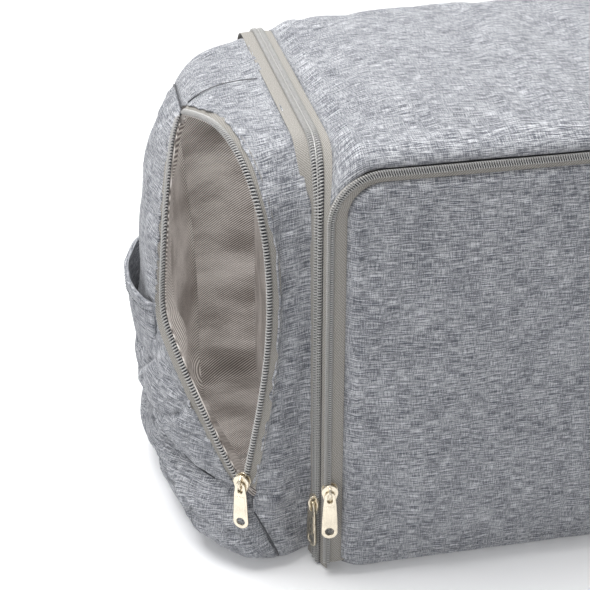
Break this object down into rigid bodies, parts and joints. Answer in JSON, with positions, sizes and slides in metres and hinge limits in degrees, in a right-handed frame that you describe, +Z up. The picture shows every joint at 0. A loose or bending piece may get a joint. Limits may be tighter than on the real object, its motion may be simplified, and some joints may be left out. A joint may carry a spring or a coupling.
{
  "type": "diaper bag",
  "caption": "Box-shaped cloth diaper bag with a forward-opening zipped lid, a zipped front pocket, and an insulated zipped bottle pocket and slip pocket in each rounded end.",
  "frame": {"origin": "centre of the base on the surface that the bag stands on", "axes": "+X along the bag, to the right seen from the front; +Y from the front pocket to the back panel; +Z up"},
  "size_m": [0.4954, 0.2602, 0.285],
  "materials": {
    "mottled_grey_cloth": "woven, two-tone slub, matt",
    "grey_cloth_base": "woven, two-tone slub, matt",
    "taupe_zip_tape": "plain woven tape, matt",
    "grey_nylon_coil": "moulded nylon, satin",
    "silver_foil_lining": "ribbed, with a metallised sheen",
    "grey_lining": "plain woven polyester",
    "champagne_metal": "pale gold plating, polished",
    "grey_webbing": "woven webbing",
    "black_plastic": "moulded acetal",
    "stiffener_board": "smooth sheet"
  },
  "bodies": {
    "carcass": {"back_panel": "mottled_grey_cloth", "base_board": "stiffener_board", "base_panel": "grey_cloth_base", "bottle_zip_inner_left": "taupe_zip_tape", "bottle_zip_inner_right": "taupe_zip_tape", "bottle_zip_outer_left": "taupe_zip_tape", "bottle_zip_outer_right": "taupe_zip_tape", "divider_left": "grey_lining", "divider_right": "grey_lining", "end_back_left": "mottled_grey_cloth", "end_back_right": "mottled_grey_cloth", "end_boot_left": "grey_cloth_base", "end_boot_right": "grey_cloth_base", "end_face_left": "mottled_grey_cloth", "end_face_right": "mottled_grey_cloth", "end_gusset_left": "mottled_grey_cloth", "end_gusset_right": "mottled_grey_cloth", "foil_lining_left": "silver_foil_lining", "foil_lining_right": "silver_foil_lining", "handle_anchor_left": "grey_webbing", "handle_anchor_right": "grey_webbing", "main_zip_body_back": "taupe_zip_tape", "main_zip_body_left": "taupe_zip_tape", "main_zip_body_right": "taupe_zip_tape", "slip_pocket_left": "mottled_grey_cloth", "slip_pocket_right": "mottled_grey_cloth", "strap_foot_left": "grey_webbing", "strap_foot_right": "grey_webbing", "strap_pad_left": "mottled_grey_cloth", "strap_pad_right": "mottled_grey_cloth", "strap_webbing_left": "grey_webbing", "strap_webbing_right": "grey_webbing", "strap_yoke_left": "grey_webbing", "strap_yoke_right": "grey_webbing"},
    "front_lid": {"front_wall": "grey_lining", "pocket_gusset": "mottled_grey_cloth", "pocket_zip_wall": "taupe_zip_tape", "main_zip_front_left": "taupe_zip_tape", "main_zip_front_right": "taupe_zip_tape"},
    "top_flap": {"top_panel": "mottled_grey_cloth", "main_zip_top_left": "taupe_zip_tape", "main_zip_top_right": "taupe_zip_tape", "main_zip_top_back": "taupe_zip_tape"},
    "pocket_flap": {"front_pocket_panel": "mottled_grey_cloth", "pocket_zip_tape": "taupe_zip_tape", "pocket_zip_coil": "grey_nylon_coil"},
    "handle": {"grab_handle": "grey_webbing"},
    "main_zip_slider": {"main_slider": "champagne_metal"},
    "main_zip_pull": {"main_slider_tab": "champagne_metal"},
    "pocket_zip_slider": {"pocket_slider": "champagne_metal"},
    "pocket_zip_pull": {"pocket_slider_tab": "champagne_metal"},
    "bottle_zip_slider_left": {"bottle_slider_left": "champagne_metal"},
    "bottle_zip_pull_left": {"bottle_slider_left_tab": "champagne_metal"},
    "bottle_zip_slider_right": {"bottle_slider_right": "champagne_metal"},
    "bottle_zip_pull_right": {"bottle_slider_right_tab": "champagne_metal"},
    "adjuster_left": {"strap_adjuster_left": "black_plastic"},
    "adjuster_right": {"strap_adjuster_right": "black_plastic"}
  },
  "joints": [
    {"name": "lid_open", "type": "hinge", "parent": "carcass", "child": "front_lid", "pos_m": [0, -0.1161, 0.018], "axis": [1, 0, 0], "range_deg": [0, 50]},
    {"name": "top_open", "type": "hinge", "parent": "front_lid", "child": "top_flap", "pos_m": [0, -0.11547, 0.27337], "axis": [1, 0, 0], "range_deg": [0, 120]},
    {"name": "pocket_open", "type": "hinge", "parent": "front_lid", "child": "pocket_flap", "pos_m": [0, -0.1276, 0.012], "axis": [1, 0, 0], "range_deg": [0, 38]},
    {"name": "handle_swing", "type": "hinge", "parent": "carcass", "child": "handle", "pos_m": [0, 0.119, 0.224], "axis": [1, 0, 0], "range_deg": [0, 170]},
    {"name": "main_zip_travel", "type": "slide", "parent": "front_lid", "child": "main_zip_slider", "axis": [0, 0, 1], "range_m": [0, 0.185]},
    {"name": "main_pull_swing", "type": "hinge", "parent": "main_zip_slider", "child": "main_zip_pull", "pos_m": [-0.15463, -0.11141, 0.0484], "axis": [-0.342, 0.9397, 0], "range_deg": [0, 150]},
    {"name": "pocket_zip_travel", "type": "slide", "parent": "pocket_flap", "child": "pocket_zip_slider", "axis": [0, 0, 1], "range_m": [0, 0.165]},
    {"name": "pocket_pull_swing", "type": "hinge", "parent": "pocket_zip_slider", "child": "pocket_zip_pull", "pos_m": [-0.14697, -0.12756, 0.0654], "axis": [-0.9848, 0.1736, 0], "range_deg": [0, 150]},
    {"name": "bottle_zip_travel_left", "type": "slide", "parent": "carcass", "child": "bottle_zip_slider_left", "axis": [-0.0554, 0.1291, 0.9901], "range_m": [0, 0.14]},
    {"name": "bottle_pull_swing_left", "type": "hinge", "parent": "bottle_zip_slider_left", "child": "bottle_zip_pull_left", "pos_m": [-0.19825, -0.10852, 0.0665], "axis": [-0.8385, 0.5449, 0], "range_deg": [0, 150]},
    {"name": "strap_adjust_left", "type": "slide", "parent": "carcass", "child": "adjuster_left", "axis": [0, 0, 1], "range_m": [-0.055, 0.024]},
    {"name": "bottle_zip_travel_right", "type": "slide", "parent": "carcass", "child": "bottle_zip_slider_right", "axis": [0.0554, 0.1291, 0.9901], "range_m": [0, 0.14]},
    {"name": "bottle_pull_swing_right", "type": "hinge", "parent": "bottle_zip_slider_right", "child": "bottle_zip_pull_right", "pos_m": [0.19825, -0.10852, 0.0665], "axis": [-0.8385, -0.5449, 0], "range_deg": [0, 150]},
    {"name": "strap_adjust_right", "type": "slide", "parent": "carcass", "child": "adjuster_right", "axis": [0, 0, 1], "range_m": [-0.055, 0.024]}
  ]
}
